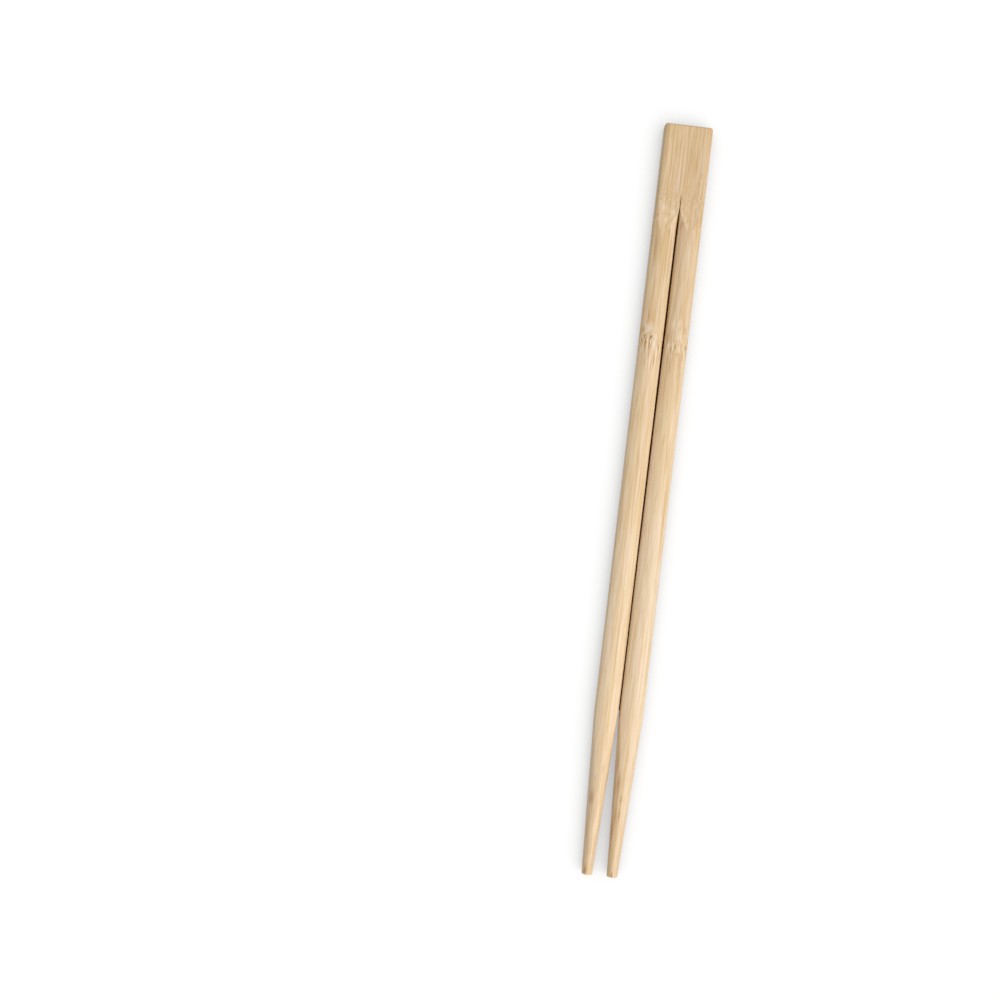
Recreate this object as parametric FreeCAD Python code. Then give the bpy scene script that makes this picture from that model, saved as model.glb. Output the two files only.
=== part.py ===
"""Pair of joined bamboo chopsticks, made from one flat strip of bamboo.

The strip is cut to length and its edges are rounded. A forming wheel on each face shapes
two crowned sticks side by side, with a groove between them, and lifts out of the strip
before it reaches the head, so the groove runs out in a point and the crowns run out in
two flat tongues. A thin slit parts the sticks, and their free ends are ground to blunt
round tips. The head stays whole: the user pulls the sticks apart along the slit.

The strip lies flat: +Y points from the tips to the head, +X lies across the two sticks and
+Z is up. The origin is on the underside, at the middle of the length and of the width.
All sizes are in millimetres.
"""

import FreeCAD
import Part
import math
import os

# Strip
strip_length = 210.0
strip_width = 13.6
strip_thickness = 5.0
long_edge_radius = 1.5  # rounds the four long edges, seen at the head
head_corner_radius = 1.0  # rounds the head's two corners, seen from above
head_end_radius = 0.5  # eases the head's end into its upper and lower face

# Form of the two sticks
crown_radius = 5.0  # arc over the top and under the bottom of each stick
shoulder_radius = 0.9  # blends each crown into the stick's two side walls
head_length = 30.2  # from the head's end to where the sticks have their full form
wheel_radius = 15.0  # forming wheel, from its axis to its deepest cutting edge

# Slit
slit_width = 0.45
slit_lead = 3.8  # how far the slit runs on past the groove's point, towards the head
slit_wedge_length = 8.6  # over which it opens from a point to its full width

# Tips
tip_diameter = 3.0
taper_length = 43.0  # from a tip to where its side walls and crowns begin to narrow
tip_edge_radius = 0.4

# Room that a cutting or trimming body has beyond the strip
clearance = 4.0

# What follows from the sizes above
half_length = strip_length / 2
half_width = strip_width / 2
half_thickness = strip_thickness / 2
slit_wall_x = slit_width / 2
stick_half_width = (half_width - slit_wall_x) / 2
stick_axis_x = slit_wall_x + stick_half_width
full_form_y = half_length - head_length
clear_height = half_thickness + clearance

# Section of one stick about its axis. The shoulder's centre lies where its circle touches
# the side wall from inside and the crown's circle from inside.
crown_centre_z = half_thickness - crown_radius
shoulder_centre_x = stick_half_width - shoulder_radius
shoulder_rise = math.sqrt((crown_radius - shoulder_radius) ** 2 - shoulder_centre_x**2)
wall_top_z = crown_centre_z + shoulder_rise
shoulder_lean = math.atan2(shoulder_rise, shoulder_centre_x)
crown_end_x = crown_radius * math.cos(shoulder_lean)
crown_end_z = crown_centre_z + crown_radius * math.sin(shoulder_lean)

# The wheel's deepest edge cuts the groove between the sticks and the step along their sides.
groove_depth = half_thickness - wall_top_z
run_out_length = math.sqrt(wheel_radius**2 - (wheel_radius - groove_depth) ** 2)
slit_point_y = full_form_y + run_out_length + slit_lead


def vec(x, y, z):
    return FreeCAD.Vector(x, y, z)


def line(start, end):
    return Part.LineSegment(start, end).toShape()


def arc(start, middle, end):
    return Part.Arc(start, middle, end).toShape()


def face(edges):
    return Part.Face(Part.Wire(Part.__sortEdges__(edges)))


def rounded_rectangle(width, height, radius, place):
    """Face of a width by height rectangle about (0, 0), with its four corners rounded.

    place turns a point (u, v) of the flat outline into a point in space.
    """
    u = width / 2
    v = height / 2
    flat_u = u - radius
    flat_v = v - radius
    bulge = radius * math.sqrt(0.5)
    edges = []
    for side in (1, -1):
        edges.append(line(place(-flat_u, side * v), place(flat_u, side * v)))
        edges.append(line(place(side * u, -flat_v), place(side * u, flat_v)))
        for end in (1, -1):
            start = place(side * flat_u, end * v)
            middle = place(side * (flat_u + bulge), end * (flat_v + bulge))
            stop = place(side * u, end * flat_v)
            edges.append(arc(start, middle, stop))
    return face(edges)


def strip():
    """The strip before it is shaped: what its section, plan and side outline have in common."""
    # The plan and the side outline round only the head: their other end lies past the tips.
    outline_length = strip_length + clearance
    outline_middle_y = half_length - outline_length / 2
    section = rounded_rectangle(
        strip_width,
        strip_thickness,
        long_edge_radius,
        lambda u, v: vec(u, -half_length, v),
    )
    plan = rounded_rectangle(
        strip_width,
        outline_length,
        head_corner_radius,
        lambda u, v: vec(u, outline_middle_y + v, -half_thickness),
    )
    side = rounded_rectangle(
        outline_length,
        strip_thickness,
        head_end_radius,
        lambda u, v: vec(-half_width, outline_middle_y + u, v),
    )
    body = section.extrude(vec(0, strip_length, 0))
    body = body.common(plan.extrude(vec(0, 0, strip_thickness)))
    return body.common(side.extrude(vec(strip_width, 0, 0)))


def stick_top(side):
    """Edges over the stick on that side of the slit, from wall to wall: shoulder, crown, shoulder."""

    def point(x, z):
        return vec(side * (stick_axis_x + x), full_form_y, z)

    edges = [
        arc(
            point(-crown_end_x, crown_end_z),
            point(0, half_thickness),
            point(crown_end_x, crown_end_z),
        )
    ]
    half_way_x = shoulder_centre_x + shoulder_radius * math.cos(shoulder_lean / 2)
    half_way_z = wall_top_z + shoulder_radius * math.sin(shoulder_lean / 2)
    for end in (1, -1):
        edges.append(
            arc(
                point(end * stick_half_width, wall_top_z),
                point(end * half_way_x, half_way_z),
                point(end * crown_end_x, crown_end_z),
            )
        )
    return edges


def forming_cut():
    """What the upper forming wheel takes away, from where it lifts out of the strip to the tips."""
    outside = half_width + clearance

    def point(x, z):
        return vec(x, full_form_y, z)

    outline = stick_top(1) + stick_top(-1)
    outline.append(line(point(-slit_wall_x, wall_top_z), point(slit_wall_x, wall_top_z)))
    outline.append(line(point(-outside, clear_height), point(outside, clear_height)))
    for side in (1, -1):
        edge_foot = point(side * outside, wall_top_z)
        outline.append(line(point(side * half_width, wall_top_z), edge_foot))
        outline.append(line(edge_foot, point(side * outside, clear_height)))
    profile = face(outline)
    along_sticks = profile.extrude(vec(0, -(strip_length - head_length + clearance), 0))
    wheel_axis = vec(0, full_form_y, wall_top_z + wheel_radius)
    run_out = profile.revolve(wheel_axis, vec(1, 0, 0), 90)
    return along_sticks.fuse(run_out)


def slit_cut():
    """Thin cut that parts the sticks. It starts as a point, a little past the groove's point."""
    full_width_y = slit_point_y - slit_wedge_length
    end_y = -half_length - clearance
    corners = [
        vec(0, slit_point_y, -clear_height),
        vec(slit_wall_x, full_width_y, -clear_height),
        vec(slit_wall_x, end_y, -clear_height),
        vec(-slit_wall_x, end_y, -clear_height),
        vec(-slit_wall_x, full_width_y, -clear_height),
    ]
    plan = Part.Face(Part.makePolygon(corners + corners[:1]))
    return plan.extrude(vec(0, 0, 2 * clear_height))


def tip_envelope():
    """All that the tip grinder leaves: a cone about each stick's axis, and the whole piece behind."""
    tip_radius = tip_diameter / 2
    slope = (stick_half_width - tip_radius) / taper_length
    section_reach = math.hypot(shoulder_centre_x, wall_top_z) + shoulder_radius
    ground_length = (section_reach - tip_radius) / slope
    cone_length = ground_length + clearance
    back_start_y = -half_length + ground_length + clearance / 2
    envelope = Part.makeBox(
        strip_width + 2 * clearance,
        half_length + clearance - back_start_y,
        strip_thickness + 2 * clearance,
        vec(-half_width - clearance, back_start_y, -half_thickness - clearance),
    )
    for side in (1, -1):
        tip_end = vec(side * stick_axis_x, -half_length, 0)
        cone_end_radius = tip_radius + slope * cone_length
        cone = Part.makeCone(tip_radius, cone_end_radius, cone_length, tip_end, vec(0, 1, 0))
        rim = [edge for edge in cone.Edges if edge.BoundBox.YMax < tip_end.y + tip_edge_radius]
        envelope = envelope.fuse(cone.makeFillet(tip_edge_radius, rim))
    return envelope


def chopstick_pair():
    upper_cut = forming_cut()
    lower_cut = upper_cut.mirror(vec(0, 0, 0), vec(0, 0, 1))
    body = strip().cut([upper_cut, lower_cut, slit_cut()])
    body = body.common(tip_envelope())
    body = body.removeSplitter()
    body.translate(vec(0, 0, half_thickness))
    return body


os.makedirs("parts", exist_ok=True)
pair = chopstick_pair()
pair.exportStep("parts/chopstick_pair.step")
print("solids", len(pair.Solids), "valid", pair.isValid(), "volume", round(pair.Volume, 1))
print(pair.optimalBoundingBox(False, False))
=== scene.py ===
"""Joined bamboo chopsticks, dressed for a studio picture taken from straight above.

The pair lies flat with its head at +Y. Shapes are worked out in millimetres and written to
their meshes in metres.
"""

import math

import bpy
import numpy as np
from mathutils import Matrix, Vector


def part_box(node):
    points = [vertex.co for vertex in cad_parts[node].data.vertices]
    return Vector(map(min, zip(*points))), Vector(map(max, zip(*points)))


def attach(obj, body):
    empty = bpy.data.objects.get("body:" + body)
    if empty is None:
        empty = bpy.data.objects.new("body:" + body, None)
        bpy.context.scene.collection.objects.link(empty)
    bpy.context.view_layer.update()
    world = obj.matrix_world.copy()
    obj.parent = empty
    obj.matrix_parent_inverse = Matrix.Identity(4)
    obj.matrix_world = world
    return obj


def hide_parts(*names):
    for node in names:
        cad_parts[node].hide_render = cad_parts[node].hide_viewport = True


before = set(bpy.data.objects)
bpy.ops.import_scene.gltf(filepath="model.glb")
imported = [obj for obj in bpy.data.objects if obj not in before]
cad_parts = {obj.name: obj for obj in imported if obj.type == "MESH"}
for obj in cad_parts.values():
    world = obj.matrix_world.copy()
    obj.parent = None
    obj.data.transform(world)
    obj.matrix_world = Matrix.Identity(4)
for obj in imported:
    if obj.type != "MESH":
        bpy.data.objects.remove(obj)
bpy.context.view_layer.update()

# The strip. The pair starts as one flat strip of bamboo, sawn from the culm's wall along its
# fibres and planed. Its long edges are rounded, and its head end is sawn square and eased.
low_corner, high_corner = (np.array(corner) * 1000 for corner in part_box("chopstick_pair"))
half_width = high_corner[0]
half_length = high_corner[1]
half_thickness = (high_corner[2] - low_corner[2]) / 2
long_edge_radius = 1.5
head_corner_radius = 1.0
head_end_radius = 0.5


def rounding(past, radius):
    """Fall of a quarter-round at a distance past its start: radius less the circle's height there."""
    past = np.clip(past, 0, radius)
    return radius - np.sqrt(radius**2 - past**2)


def strip_side(y):
    """Half the strip's width at y: the full width less the rounding of the head's corners."""
    return half_width - rounding(y - (half_length - head_corner_radius), head_corner_radius)


def strip_height(x, y):
    """Half the strip's thickness at (x, y): the full one less the larger of two roundings.

    One is that of the long edges, across the strip, and the other that of the head's end.
    """
    long_edge = rounding(np.abs(x) - (half_width - long_edge_radius), long_edge_radius)
    head_end = rounding(y - (half_length - head_end_radius), head_end_radius)
    return half_thickness - np.maximum(long_edge, head_end)


# The two sticks. A forming wheel runs along each face of the strip and leaves two crowned sticks
# with a groove between them. It lifts out before the head, so the groove ends in a point and each
# crown runs out in a flat tongue. A thin saw then parts the sticks.
crown_radius = 5.0
shoulder_radius = 0.9
head_length = 30.2
wheel_radius = 15.0
slit_half_width = 0.225
slit_lead = 3.8  # from the groove's point to the slit's point
slit_wedge_length = 8.6
spring_in = 0.05  # how far each of the slit's walls moves in once the sticks are free
spring_in_ends = (-15, 35)  # where along the length it has fully moved, and where it starts

stick_half_width = (half_width - slit_half_width) / 2
stick_axis = slit_half_width + stick_half_width
full_form_y = half_length - head_length
shoulder_centre = stick_half_width - shoulder_radius
shoulder_rise = math.sqrt((crown_radius - shoulder_radius) ** 2 - shoulder_centre**2)
wall_height = half_thickness - crown_radius + shoulder_rise
crown_end = shoulder_centre * crown_radius / (crown_radius - shoulder_radius)
wheel_depth = half_thickness - wall_height
run_out_length = math.sqrt(wheel_radius**2 - (wheel_radius - wheel_depth) ** 2)
slit_point_y = full_form_y + run_out_length + slit_lead


def formed_stick_height(across):
    """Half the thickness of a fully formed stick, at a distance across from its axis.

    The crown is one arc over the axis. Each shoulder is a smaller arc, tangent to the crown
    and to the stick's side wall.
    """
    across = np.abs(across)
    crown = half_thickness - crown_radius + np.sqrt(np.maximum(crown_radius**2 - across**2, 0))
    past_centre = np.maximum(across - shoulder_centre, 0)
    shoulder = wall_height + np.sqrt(np.maximum(shoulder_radius**2 - past_centre**2, 0))
    return np.where(across < crown_end, crown, shoulder)


def wheel_height(x, y):
    """Half the thickness that the forming wheels leave at (x, y).

    Past the full form, each point of the wheel's outline climbs on its own circle about the
    axle: the axle's height less the root of its radius squared less the distance squared.
    """
    axle_height = wall_height + wheel_radius
    own_radius = axle_height - formed_stick_height(np.abs(x) - stick_axis)
    past = np.maximum(y - full_form_y, 0)
    return axle_height - np.sqrt(np.maximum(own_radius**2 - past**2, 0))


def slit_side(y):
    """Half the slit's width at y: nothing in the head, then a wedge, then the full width.

    Once sawn, the sticks spring in a little, so their slit is narrower on the tips' side.
    """
    sawn = slit_half_width * np.clip((slit_point_y - y) / slit_wedge_length, 0, 1)
    return sawn - np.interp(y, spring_in_ends, [spring_in, 0])


# The tips. The free end of each stick is turned in a grinding cup, which leaves a straight cone
# about the stick's own axis and a blunt end with a slightly rounded rim.
tip_radius = 1.5
taper_length = 43.0
tip_rim_radius = 0.4


def ground_radius(y):
    """Radius that the grinding cup leaves at y: a straight cone, less the rounding of its rim."""
    from_end = y + half_length
    cone = tip_radius + (stick_half_width - tip_radius) * from_end / taper_length
    return cone - rounding(tip_rim_radius - from_end, tip_rim_radius)


def half_surface(share, rise, y, fill, side):
    """Points on one half of the pair: the stick on that side, and its half of the head.

    share runs from 0 at the slit to 1 at the outer wall, and rise from 1 on the top to -1 on the
    underside, as a part of the height there. What reaches out of the ground cone is drawn in
    along its ray from the stick's axis. fill is 1 on the surface and shrinks to 0 over an end.
    """
    inner = slit_side(y)
    x = inner + share * (strip_side(y) - inner)
    z = rise * np.minimum(strip_height(x, y), wheel_height(x, y))
    across = x - stick_axis
    kept = fill * np.minimum(1, ground_radius(y) / np.hypot(across, z))
    return np.stack([side * (stick_axis + across * kept), y, half_thickness + z * kept], axis=-1)


def even_shares(count):
    """Shares of the width at which count equal steps along a formed stick's top end."""
    samples = 2001
    across = stick_half_width * np.sin(np.linspace(-math.pi / 2, math.pi / 2, samples))
    steps = np.hypot(np.diff(across), np.diff(formed_stick_height(across)))
    travelled = np.concatenate([[0], np.cumsum(steps)])
    even = np.interp(np.linspace(0, travelled[-1], count + 1), travelled, across)
    return (even + stick_half_width) / (2 * stick_half_width)


def body_stations():
    """Places along the length, closer together where the shape turns or carries detail."""
    plain_step = 0.9
    fine_step = 0.25
    joint_step = 0.2
    rounding_steps = 8
    tip_rim_end = -half_length + tip_rim_radius
    tip_detail_end = -half_length + 3
    joint_detail_start = 39.5
    joint_detail_end = 48.5
    head_corner_start = half_length - head_corner_radius
    stretches = [
        (tip_rim_end, tip_detail_end, fine_step),
        (tip_detail_end, joint_detail_start, plain_step),
        (joint_detail_start, joint_detail_end, joint_step),
        (joint_detail_end, full_form_y, plain_step),
        (full_form_y, slit_point_y, fine_step),
        (slit_point_y, head_corner_start, plain_step),
    ]
    quarter_turn = np.linspace(0, math.pi / 2, rounding_steps + 1)
    rows = [tip_rim_end - tip_rim_radius * np.cos(quarter_turn[:-1])]
    for start, end, step in stretches:
        rows.append(np.linspace(start, end, round((end - start) / step), endpoint=False))
    rows.append(head_corner_start + head_corner_radius * np.sin(quarter_turn))
    return np.concatenate(rows)


def pair_mesh():
    """Closed surface of the pair: a loop about each stick, carried from end to end.

    The loop goes over the top, down the outer wall, back under and up the slit's wall, and over
    each end it shrinks to a point. The slit has no wall in the head, where both halves are one.
    """
    top_steps = 54
    wall_steps = 5
    end_steps = 8
    top = even_shares(top_steps)
    down = np.linspace(1, -1, wall_steps + 1)
    flat = np.ones(top_steps)
    wall = np.ones(wall_steps)
    loop_share = np.concatenate([top[:-1], wall, top[:0:-1], 0 * wall])
    loop_rise = np.concatenate([flat, down[:-1], -flat, -down[:-1]])
    on_slit_wall = np.arange(len(loop_share)) >= len(loop_share) - wall_steps

    body = body_stations()
    shrink = np.linspace(1, 0, end_steps + 1)[1:]
    row_y = np.concatenate([0 * shrink - half_length, body, 0 * shrink + half_length])
    row_fill = np.concatenate([shrink[::-1], 0 * body + 1, shrink])
    in_head = (row_y[:-1] >= slit_point_y) & (row_fill[1:] == 1)

    numbers = np.arange(len(row_y) * len(loop_share)).reshape(len(row_y), -1)
    beside = np.roll(numbers, -1, axis=1)
    quads = np.stack([numbers[:-1], beside[:-1], beside[1:], numbers[1:]], axis=-1)
    quads = quads[~(in_head[:, None] & on_slit_wall)]
    y, share = np.meshgrid(row_y, loop_share, indexing="ij")
    fill, rise = np.meshgrid(row_fill, loop_rise, indexing="ij")
    points = np.stack([half_surface(share, rise, y, fill, side) for side in (1, -1)])
    faces = np.concatenate([quads, quads[:, ::-1] + numbers.size])

    # Points that both halves share become one, and so does the last loop over each end. Adding 0
    # turns any -0 into 0, so that such points compare as the same.
    used, faces = np.unique(faces, return_inverse=True)
    points = np.round(points.reshape(-1, 3)[used], 5) + 0.0
    points, same = np.unique(points, axis=0, return_inverse=True)
    faces = same.reshape(-1)[faces.reshape(-1, 4)]
    closes_first = faces[:, 0] == faces[:, 1]
    closes_last = faces[:, 2] == faces[:, 3]
    triangles = np.concatenate([faces[closes_first][:, 1:], faces[closes_last][:, :3]])
    quads = faces[~(closes_first | closes_last)]
    mesh = bpy.data.meshes.new("bamboo_pair")
    mesh.from_pydata(points, [], quads.tolist() + triangles.tolist())
    return mesh


def mesh_vectors(collection, name):
    """The values of one three-number property of a mesh's points, as rows."""
    values = np.empty(3 * len(collection), dtype=np.float32)
    collection.foreach_get(name, values)
    return values.reshape(-1, 3).astype(float)


def soft_noise(position, cell, seed):
    """Noise from -1 to 1: seeded heights on a lattice of cells, blended by eased weights."""
    scaled = position / np.array(cell)
    scaled = scaled - scaled.min(axis=0)
    corner = np.floor(scaled).astype(int)
    part = scaled - corner
    part = part * part * (3 - 2 * part)
    heights = np.random.default_rng(seed).uniform(-1, 1, corner.max(axis=0) + 2)
    total = 0
    for step in np.ndindex(2, 2, 2):
        weight = np.prod(np.where(step, part, 1 - part), axis=1)
        total = total + weight * heights[tuple((corner + step).T)]
    return total


pair_data = pair_mesh()
pair_at = mesh_vectors(pair_data.vertices, "co")
outwards = mesh_vectors(pair_data.vertex_normals, "vector")

# The culm joint. Bamboo is hollow between its joints, and across each joint the fibres turn and
# cross. The strip has one, planed flush, which shows as a ragged line over both sticks with
# short, wedge-shaped fibres under it and a few small pits where fibres end.
joint_y = (45.4, 44.2)  # left and right stick
joint_fibres = (1.0, 0.55)  # how strongly the fibres under it show, on each stick
joint_waver = 0.7
waver_cell = (1.1, 1, 1.6)
joint_squeeze = 26.0
squeeze_reach = 1.7
joint_swirl = 0.25
swirl_reach = 2.4
swirl_cell = (0.9, 1.6, 0.9)
fibre_wander = 0.25
wander_cell = (6, 60, 6)
wedge_rise = 0.5
wedge_fade = 3.6


def from_joint(position):
    """Signed distance along the strip to the culm joint's line, which wavers across the strip."""
    x = position[:, 0]
    line = np.interp(x, [-0.5, 0.5], joint_y)
    waver = soft_noise(position * (1, 0, 1), waver_cell, seed=11)
    return position[:, 1] - line - joint_waver * waver


def grain(position):
    """Place of each point in the bamboo as it grew, with its fibres straight along Y.

    The fibres wander a little on their way. Near the joint they swirl sideways, and their
    pattern runs faster along Y, as the distance to the joint plus a squeezed step over it.
    """
    grown = position.copy()
    past = from_joint(position)
    near = np.exp(-((past / swirl_reach) ** 2))
    for axis, seed in ((0, 21), (2, 22)):
        wander = soft_noise(position, wander_cell, seed)
        swirl = soft_noise(position, swirl_cell, seed + 10)
        grown[:, axis] += fibre_wander * wander + joint_swirl * near * swirl
    grown[:, 1] += joint_squeeze * np.tanh(past / squeeze_reach)
    return grown


def wedge_strength(position):
    """How much the joint's own fibres show: a quick rise below its line, then a long fade."""
    below = -from_joint(position)
    strength = np.interp(position[:, 0], [-0.5, 0.5], joint_fibres)
    return strength * np.clip(below / wedge_rise, 0, 1) * np.exp(-((below / wedge_fade) ** 2))


def spots(position, marks):
    """Strength of soft oval marks on the top: the largest of exp(-distance squared) to each.

    A mark is its x, its y, half its width and half its length, then its strength.
    """
    strength = np.zeros(len(position))
    on_top = position[:, 2] > half_thickness
    for x, y, half_across, half_along, peak in marks:
        away = ((position[:, 0] - x) / half_across) ** 2 + ((position[:, 1] - y) / half_along) ** 2
        strength = np.maximum(strength, peak * on_top * np.exp(-away))
    return strength


# Marks on the top, where the joint, the wheel's run-out or the grinding cup cuts across the fibres:
# dark pits where fibres end, tan fibres that surface, and pale patches beside them. A few of the tan
# marks are painted shade instead, as noted by them. The last two pits are short splits that open to
# the right tip's end.
pits = [
    (-3.62, 45.65, 0.3, 0.2, 1.0),
    (-3.93, 45.25, 0.16, 0.5, 1.0),
    (-5.45, 45.6, 0.14, 0.35, 0.6),
    (2.05, 43.0, 0.13, 0.5, 0.5),
    (3.18, -104.3, 0.13, 0.9, 0.9),
    (2.2, -104.6, 0.1, 0.4, 0.5),
]
tan_fibres_and_shade = [
    (-3.98, 43.3, 0.2, 2.0, 1.0),
    (-3.85, 40.6, 0.2, 1.2, 0.6),
    (-5.45, 45.5, 0.22, 0.6, 0.8),
    (-4.95, 42.4, 0.14, 1.6, 0.8),
    (-4.96, 51.3, 0.14, 1.6, 0.8),
    (-5.35, 49.3, 0.14, 0.3, 0.7),
    (-6.0, 47.3, 0.35, 0.8, 0.6),
    (-3.2, 51.5, 0.16, 3.0, 0.45),
    (-4.7, 38.6, 0.16, 1.6, 0.5),
    (-2.2, 39.2, 0.17, 2.0, 0.9),
    (-1.2, 42.9, 0.22, 1.0, 0.9),
    (-0.75, 40.3, 0.16, 1.2, 0.6),
    (-2.9, 37.5, 0.15, 2.0, 0.5),
    (0.85, 45.6, 0.2, 2.2, 0.8),
    (0.6, 51.5, 0.2, 3.4, 0.5),
    (2.15, 42.3, 0.14, 1.2, 1.0),
    (2.35, 38.6, 0.15, 2.6, 0.8),
    (3.2, 43.5, 0.15, 0.8, 0.8),
    (6.28, 43.5, 0.17, 0.8, 1.0),
    (5.6, 41.3, 0.14, 1.4, 0.8),
    (5.05, 38.4, 0.14, 3.0, 0.6),
    (4.1, 41.4, 0.3, 0.5, 0.4),
    (5.5, 48.0, 0.5, 1.2, 0.3),
    (-5.7, 97.0, 0.16, 4.0, 0.35),
    (-5.7, 88.5, 0.16, 2.5, 0.4),
    (-3.85, 93.5, 0.15, 3.5, 0.3),
    (-2.85, 97.5, 0.17, 4.0, 0.38),
    (-2.0, 90.5, 0.15, 6.0, 0.34),
    (-0.6, 93.0, 0.14, 7.0, 0.28),
    (0.5, 92.0, 0.15, 8.0, 0.3),
    (1.15, 94.0, 0.17, 7.5, 0.42),
    (3.15, 92.0, 0.17, 9.0, 0.44),
    (4.4, 88.5, 0.17, 8.0, 0.4),
    # this one darkens the slit's point: painted shade of the slit
    (0.0, 83.9, 0.35, 1.8, 0.8),
    (1.2, 77.6, 0.55, 1.6, 0.45),
    (-5.3, 70.5, 0.3, 3.0, 0.5),
    (-5.8, 79.3, 0.3, 0.5, 0.5),
    (-2.7, 82.6, 0.3, 1.0, 0.35),
    (-2.2, 75.2, 0.3, 1.0, 0.4),
    # these two darken the run-out's faces where the lamp lights them: painted shade
    (-1.7, 77.6, 0.6, 1.2, 0.3),
    (5.5, 77.3, 0.5, 1.8, 0.35),
    (-4.9, -83.2, 0.55, 2.0, 0.6),
    (-4.5, -77.6, 0.2, 1.0, 0.35),
    (-4.3, -103.7, 0.35, 1.6, 0.75),
    (-2.6, -75.0, 0.25, 1.2, 0.4),
    (1.4, -72.5, 0.3, 3.5, 0.4),
    (2.1, -78.0, 0.45, 3.0, 0.55),
    (3.2, -83.0, 0.17, 1.2, 0.9),
    (3.3, -87.2, 0.22, 1.9, 0.75),
    (2.2, -88.0, 0.4, 2.4, 0.5),
    (1.9, -92.0, 0.25, 2.0, 0.5),
]
pale_patches = [
    (-3.6, 44.3, 0.17, 0.9, 1.0),
    (-4.4, 43.2, 0.15, 1.8, 0.6),
    (-4.6, 47.9, 0.9, 1.4, 0.5),
    (-2.6, 43.6, 0.5, 1.8, 0.8),
    (-1.7, 41.0, 0.17, 1.5, 0.9),
    (-0.9, 42.4, 0.14, 0.8, 0.7),
    (-3.3, 38.7, 0.2, 1.6, 0.6),
    (-5.4, 42.0, 0.16, 1.4, 0.5),
    (2.1, 49.6, 0.5, 1.6, 0.5),
    (2.65, 43.0, 0.2, 0.7, 1.0),
    (3.7, 50.0, 0.4, 1.0, 0.5),
    (4.3, 46.6, 0.7, 1.4, 0.5),
    (4.6, 42.8, 0.2, 1.2, 0.7),
    (5.9, 42.0, 0.14, 0.9, 0.6),
    (1.5, 43.2, 0.2, 1.2, 0.5),
    (2.75, -83.0, 0.17, 1.4, 0.7),
    (2.9, -85.2, 0.14, 0.8, 0.6),
    (-4.4, 81.6, 0.6, 1.1, 0.4),
    (-1.5, 80.4, 0.45, 1.1, 0.45),
    (-3.4, 78.2, 0.5, 0.9, 0.35),
    (1.0, 79.9, 0.25, 0.6, 0.4),
    (1.7, 78.7, 0.3, 0.6, 0.35),
    (2.5, 77.3, 0.35, 0.8, 0.4),
    (-1.3, 76.0, 0.5, 3.0, 0.3),
]

station = pair_at[:, 1]
grown_at = grain(pair_at)
pitted = spots(pair_at, pits)
paled = spots(pair_at, pale_patches)
wedged = wedge_strength(pair_at)

# The ground tips turn a little more tan towards their ends.
tip_tan = 0.16
tip_tan_start = -60
tip_tan_length = 38
tanned_and_shaded = spots(pair_at, tan_fibres_and_shade) + tip_tan * np.clip((tip_tan_start - station) / tip_tan_length, 0, 1)

# The wheel tears the fibres a little where it lifts out.
most_torn = 0.4
torn_middle = slit_point_y - 2
torn_reach = 4
torn_up = most_torn * np.exp(-(((station - torn_middle) / torn_reach) ** 2))

# Painted shade on the slit's walls stands for the dark deep in the narrow slit, but not yet at the
# slit's point.
slit_shade_strength = 0.85
slit_shade_start = 5
wall_margin = 0.005
on_slit_wall = np.abs(pair_at[:, 0]) < slit_side(station) + wall_margin
painted_slit_shade = slit_shade_strength * on_slit_wall * np.clip((slit_point_y - station) / slit_shade_start, 0, 1)

# An end is where the surface faces along the strip. Its rim blends over to the sides.
most_end = 0.85
end_facing = 0.6
end_blend = 0.3
on_end = most_end * np.clip((np.abs(outwards[:, 1]) - end_facing) / end_blend, 0, 1)

# Planing leaves soft waves and fine fibres, the ends are rougher, and pits are deep.
wave_depth = 0.012
fibre_depth = 0.008
rough_depth = 0.02
wedge_depth = 0.03
pit_depth = 0.1
waves = wave_depth * (1 - soft_noise(grown_at, (1.9, 30, 1.9), seed=1))
fibres = fibre_depth * (1 - soft_noise(grown_at, (0.5, 9, 0.5), seed=2))
rough = rough_depth * on_end * (1 - soft_noise(pair_at, (0.35, 0.35, 0.35), seed=3))
raised = wedge_depth * wedged * (1 - soft_noise(grown_at, (0.45, 30, 0.45), seed=4))
sunk = waves + fibres + rough + raised + pit_depth * pitted
at = pair_at - outwards * sunk[:, None]
pair_data.vertices.foreach_set("co", (at / 1000).ravel())
for name, kind, field, values in (
    ("grain", "FLOAT_VECTOR", "vector", grown_at),
    # pits and the painted shade of the slit's walls share one mark
    ("pit_and_slit_shade", "FLOAT", "value", np.maximum(pitted, painted_slit_shade)),
    ("tan_and_shade", "FLOAT", "value", tanned_and_shaded),
    ("pale", "FLOAT", "value", paled),
    ("wedge", "FLOAT", "value", wedged),
    ("torn", "FLOAT", "value", torn_up),
    ("end", "FLOAT", "value", on_end),
):
    layer = pair_data.attributes.new(name, kind, "POINT")
    layer.data.foreach_set(field, values.astype(np.float32).ravel())
pair_data.shade_smooth()
pair_data.set_sharp_from_angle(angle=math.radians(40))
pair_data.update()

pair = bpy.data.objects.new("bamboo_pair", pair_data)
bpy.context.collection.objects.link(pair)
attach(pair, "root")
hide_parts("chopstick_pair")

# Bare bamboo, planed and lightly sanded: pale ground tissue with bundles of darker fibres all
# along it. The eye sees fine parallel lines of straw and beige, and a faint silky gloss.


def linear(code):
    """The linear colour, with full alpha, of an sRGB hex code such as "e6c9a4"."""
    channels = [int(code[start : start + 2], 16) / 255 for start in (0, 2, 4)]
    return [c / 12.92 if c <= 0.04045 else ((c + 0.055) / 1.055) ** 2.4 for c in channels] + [1]


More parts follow.
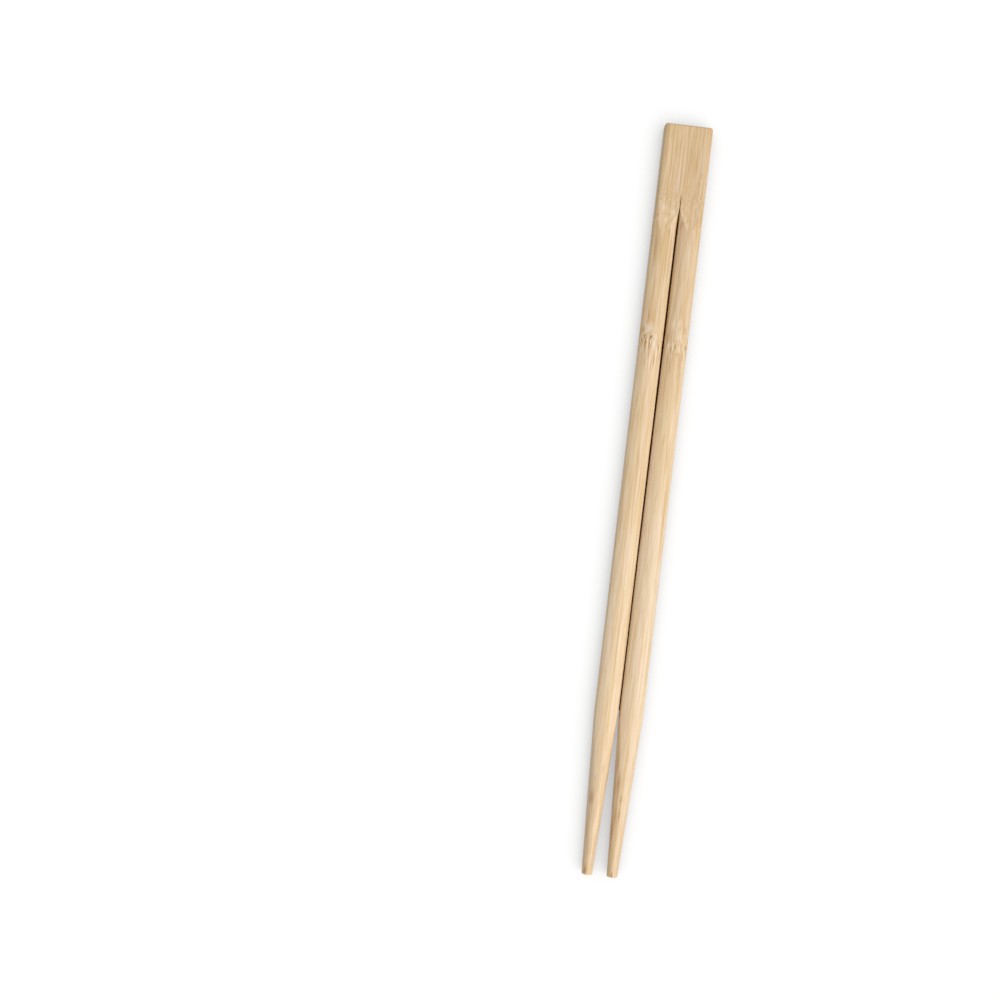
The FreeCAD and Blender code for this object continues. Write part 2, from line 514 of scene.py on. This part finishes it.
def add(tree, kind, inputs, **settings):
    """Adds a node, with its settings, and sets or links the inputs that have those identifiers.

    An input that is given as a node is linked to the first output that the node has in use.
    """
    made = tree.nodes.new(kind)
    for name, value in settings.items():
        setattr(made, name, value)
    sockets = {socket.identifier: socket for socket in made.inputs}
    for name, value in inputs.items():
        if isinstance(value, bpy.types.Node):
            value = next(output for output in value.outputs if output.enabled)
        if isinstance(value, bpy.types.NodeSocket):
            tree.links.new(value, sockets[name])
        else:
            sockets[name].default_value = value
    return made


bamboo = bpy.data.materials.new("planed_bamboo")
bamboo.use_nodes = True
tree = bamboo.node_tree
tree.nodes.clear()

grown = add(tree, "ShaderNodeAttribute", {}, attribute_name="grain").outputs["Vector"]
wedge = add(tree, "ShaderNodeAttribute", {}, attribute_name="wedge").outputs["Fac"]
torn = add(tree, "ShaderNodeAttribute", {}, attribute_name="torn").outputs["Fac"]

# Each layer of fibres: how wide and how long its streaks are in millimetres, the part of the
# noise that shows, how much it tints, and its colour. Real fibres are finer. The thinnest streaks
# are as coarse as the picture needs, since finer ones would show as slanting bands.
fibre_layers = [
    (2.0, 60, 0.38, 0.62, 0.34, "e9ca92"),
    (1.0, 25, 0.5, 0.68, 0.44, "f5dbc9"),
    (0.36, 50, 0.5, 0.65, 0.46, "d2a962"),
    (0.28, 9, 0.44, 0.68, 0.46, "d0a66b"),
    (0.3, 6, 0.68, 0.8, 0.6, "b58546"),
    (0.4, 1.5, 0.5, 0.65, torn, "f0dcc0"),
    (0.3, 1.3, 0.55, 0.65, torn, "c79c62"),
    (0.34, 36, 0.49, 0.57, wedge, "f7e5c6"),
    (0.3, 40, 0.5, 0.57, wedge, "b98745"),
]
layer_shift = 7.3  # sets each layer on its own part of the noise
ground = linear("e9d1b0")

# The fibres show more clearly towards the head. The squeeze at the joint makes the bamboo as it
# grew longer than the strip.
grown_tips = -130.0
grown_head = 125.0
along = add(tree, "ShaderNodeSeparateXYZ", {"Vector": grown}).outputs["Y"]
clear = {"Value": along, "From Min": grown_tips, "From Max": grown_head, "To Min": 0.65, "To Max": 1.12}
clear = add(tree, "ShaderNodeMapRange", clear)
fibre_shows = []
for number, (width, run, low, high, tint, colour) in enumerate(fibre_layers):
    cell = [1 / width, 1 / run, 1 / width]
    placed = {"Vector": grown, "Scale": cell, "Location": [layer_shift * number, 0, 0]}
    moved = add(tree, "ShaderNodeMapping", placed)
    noise = add(tree, "ShaderNodeTexNoise", {"Vector": moved, "Scale": 1.0, "Detail": 1.0})
    limits = {"Value": noise, "From Min": low, "From Max": high, "To Max": tint}
    shown = add(tree, "ShaderNodeMapRange", limits, interpolation_type="SMOOTHSTEP")
    tinted = add(tree, "ShaderNodeMath", {"Value": shown, "Value_001": clear}, operation="MULTIPLY")
    mix = {"Factor_Float": tinted, "A_Color": ground, "B_Color": linear(colour)}
    ground = add(tree, "ShaderNodeMix", mix, data_type="RGBA")
    fibre_shows.append(shown)

# The bundles themselves are round threads, so a flat face cuts them to lines and a cone to points.
bundle_spacing = 0.85
bundle_run = 45.0
cell = [1 / bundle_spacing, 1 / bundle_run, 1 / bundle_spacing]
moved = add(tree, "ShaderNodeMapping", {"Vector": grown, "Scale": cell})
threads = add(tree, "ShaderNodeTexVoronoi", {"Vector": moved, "Scale": 1.0, "Randomness": 0.7})
limits = {"Value": threads.outputs["Distance"], "From Min": 0.38, "From Max": 0.2, "To Max": 0.42}
bundles = add(tree, "ShaderNodeMapRange", limits, interpolation_type="SMOOTHSTEP")
mix = {"Factor_Float": bundles, "A_Color": ground, "B_Color": linear("c59d5f")}
ground = add(tree, "ShaderNodeMix", mix, data_type="RGBA")

# The colour is a little darker and redder towards the head.
headwards = {"Value": along, "From Min": -70.0, "From Max": grown_head}
headwards = add(tree, "ShaderNodeMapRange", headwards)
mix = {"Factor_Float": headwards, "A_Color": ground, "B_Color": linear("f0ede8")}
ground = add(tree, "ShaderNodeMix", mix, data_type="RGBA", blend_type="MULTIPLY")

# On the sawn ends the cut bundles show as brown dots in an even ground. The mapping drops the
# place along the strip and turns its section into the flat pattern's plane.
end = add(tree, "ShaderNodeAttribute", {}, attribute_name="end").outputs["Fac"]
dot_spacing = 0.72
section = {"Scale": [1 / dot_spacing, 0, 1 / dot_spacing], "Rotation": [math.pi / 2, 0, 0]}
moved = add(tree, "ShaderNodeMapping", {"Vector": grown, **section})
flat_pattern = {"Vector": moved, "Scale": 1.0, "Randomness": 0.75}
dots = add(tree, "ShaderNodeTexVoronoi", flat_pattern, voronoi_dimensions="2D")
limits = {"Value": dots.outputs["Distance"], "From Min": 0.36, "From Max": 0.1, "To Max": 0.65}
dots = add(tree, "ShaderNodeMapRange", limits, interpolation_type="SMOOTHSTEP")
for strength, colour in ((end, "dfc39b"), (dots, "8f6236")):
    cut = add(tree, "ShaderNodeMath", {"Value": strength, "Value_001": end}, operation="MULTIPLY")
    mix = {"Factor_Float": cut, "A_Color": ground, "B_Color": linear(colour)}
    ground = add(tree, "ShaderNodeMix", mix, data_type="RGBA")

# The marks come last. The loop ends with the pits and the slit walls' painted shade, so the strength
# that it leaves is theirs.
for name, colour in (("pale", "f6e6cd"), ("tan_and_shade", "b27f42"), ("pit_and_slit_shade", "753816")):
    strength = add(tree, "ShaderNodeAttribute", {}, attribute_name=name).outputs["Fac"]
    mix = {"Factor_Float": strength, "A_Color": ground, "B_Color": linear(colour)}
    ground = add(tree, "ShaderNodeMix", mix, data_type="RGBA")

# The fine fibres and the bundles stand in a slight relief, and the pits and the slit's walls are the
# roughest.
fine_fibres = fibre_shows[3]
relief_height = 0.00002
relief = {"Value": fine_fibres, "Value_001": 1.0, "Value_002": bundles}
relief = add(tree, "ShaderNodeMath", relief, operation="MULTIPLY_ADD")
bump = add(tree, "ShaderNodeBump", {"Height": relief, "Distance": relief_height, "Strength": 1.0})
roughness = add(tree, "ShaderNodeMapRange", {"Value": strength, "To Min": 0.38, "To Max": 0.95})
skin = {"Base Color": ground, "Roughness": roughness, "Normal": bump, "IOR": 1.5}
skin = add(tree, "ShaderNodeBsdfPrincipled", skin)
add(tree, "ShaderNodeOutputMaterial", {"Surface": skin})
pair_data.materials.append(bamboo)

# The table: a plain white studio surface. Only the camera and mirrors see it as glowing white, so that
# it throws no extra light on the bamboo. Close round the pair its glow carries a painted contact
# shadow, over the real shadow that its lit part keeps.
table_half_width = 1.5
table_drop = 0.00002
table_bounce = 0.45  # how white the table is for the light that it throws back
table_glow = 0.74  # how much of what the camera sees of it is glow
glow_strength = 1.03  # just over white, so that the open table is plain white
contact_reach = 0.006  # how near something has to be to darken the table
contact_shade = 0.55  # what is left of the glow where it is darkest


def flat_sheet(name, half_width, near, far, drop):
    """A rectangle in the scene, from near to far along Y, at a drop below the floor's height."""
    corners = [(-half_width, near), (half_width, near), (half_width, far), (-half_width, far)]
    data = bpy.data.meshes.new(name)
    data.from_pydata([(x, y, -drop) for x, y in corners], [], [(0, 1, 2, 3)])
    sheet = bpy.data.objects.new(name, data)
    bpy.context.collection.objects.link(sheet)
    return sheet


def seen_directly(tree):
    """1 for a ray from the camera, a mirror or a clear body, and 0 for one that lights the scene."""
    ray = add(tree, "ShaderNodeLightPath", {})
    seen = {"Value": ray.outputs["Is Camera Ray"], "Value_001": ray.outputs["Is Glossy Ray"]}
    seen = add(tree, "ShaderNodeMath", seen, operation="MAXIMUM")
    seen = {"Value": seen, "Value_001": ray.outputs["Is Transmission Ray"]}
    return add(tree, "ShaderNodeMath", seen, operation="MAXIMUM")


table = flat_sheet("table", table_half_width, -table_half_width, table_half_width, table_drop)

white_paper = bpy.data.materials.new("white_paper")
white_paper.use_nodes = True
tree = white_paper.node_tree
tree.nodes.clear()
seen = seen_directly(tree)
# ambient occlusion darkens the glow near the pair: a painted contact shadow
sky = add(tree, "ShaderNodeAmbientOcclusion", {"Distance": contact_reach}, samples=6).outputs["AO"]
open_sky = {"Value": sky, "From Max": 0.99, "To Min": contact_shade, "To Max": 1.0}
open_sky = add(tree, "ShaderNodeMapRange", open_sky, interpolation_type="SMOOTHSTEP")
white = {"Value": seen, "To Min": table_bounce, "To Max": open_sky}
paper = {"Color": add(tree, "ShaderNodeMapRange", white)}
paper = add(tree, "ShaderNodeBsdfDiffuse", paper)
glow = add(tree, "ShaderNodeEmission", {"Color": open_sky, "Strength": glow_strength})
share = add(tree, "ShaderNodeMath", {"Value": seen, "Value_001": table_glow}, operation="MULTIPLY")
surface = add(tree, "ShaderNodeMixShader", {"Fac": share, "Shader": paper, "Shader_001": glow})
add(tree, "ShaderNodeOutputMaterial", {"Surface": surface})
table.data.materials.append(white_paper)

# Under the slit lies a strip of table that doesn't glow, so that the slit shows the real shade there.
# Its brown colour is painted shade of the slit.
strip_half_width = 0.001
strip_near = -0.0589  # where the ground tips draw apart
strip_far = 0.086  # just past the slit's point

strip = flat_sheet("table_under_slit", strip_half_width, strip_near, strip_far, table_drop / 2)

slit_shade_paper = bpy.data.materials.new("slit_shade_paper")
slit_shade_paper.use_nodes = True
tree = slit_shade_paper.node_tree
tree.nodes.clear()
# brown: painted shade of the slit
paper = add(tree, "ShaderNodeBsdfDiffuse", {"Color": linear("b4683f")})
add(tree, "ShaderNodeOutputMaterial", {"Surface": paper})
strip.data.materials.append(slit_shade_paper)

# The studio: an even white room, and one large soft lamp to the lower right of the pair.
room_light = 0.5
lamp_share = 0.51
lamp_height = math.radians(45)
lamp_bearing = math.radians(-42)
lamp_spread = math.radians(60)

world = bpy.data.worlds.new("white_room")
world.use_nodes = True
bpy.context.scene.world = world
tree = world.node_tree
tree.nodes.clear()
seen = seen_directly(tree)
strength = add(tree, "ShaderNodeMapRange", {"Value": seen, "To Min": room_light, "To Max": 1.0})
room = add(tree, "ShaderNodeBackground", {"Color": [1, 1, 1, 1], "Strength": strength})
add(tree, "ShaderNodeOutputWorld", {"Surface": room})

lamp_data = bpy.data.lights.new("softbox", "SUN")
lamp_data.energy = math.pi * lamp_share / math.sin(lamp_height)
lamp_data.angle = lamp_spread
lamp = bpy.data.objects.new("softbox", lamp_data)
lamp.rotation_euler = (0, math.pi / 2 - lamp_height, lamp_bearing)
bpy.context.collection.objects.link(lamp)

# The camera: straight above, with a long lens. The picture shows the pair right of its middle
# and tilted, so the camera stands left of the pair and is turned by the same angle.
picture_size = 1000
pixels_per_mm = 3.59
pair_tilt = math.radians(6.82)
pair_middle = (644.0, 501.3)  # in the picture, in pixels from its left and from its top
camera_height = 0.45  # over the middle of the strip's thickness

camera_data = bpy.data.cameras.new("camera")
camera = bpy.data.objects.new("camera", camera_data)
right = np.array([math.cos(pair_tilt), math.sin(pair_tilt)])
up = np.array([-math.sin(pair_tilt), math.cos(pair_tilt)])
shift_right = (picture_size / 2 - pair_middle[0]) / pixels_per_mm
shift_up = (pair_middle[1] - picture_size / 2) / pixels_per_mm
over = (shift_right * right + shift_up * up) / 1000
picture_width = picture_size / pixels_per_mm / 1000
camera_data.lens = camera_data.sensor_width * camera_height / picture_width
camera.location = (over[0], over[1], camera_height + half_thickness / 1000)
camera.rotation_euler = (0, 0, pair_tilt)
bpy.context.collection.objects.link(camera)
bpy.context.scene.camera = camera
bpy.context.scene.view_settings.view_transform = "Standard"
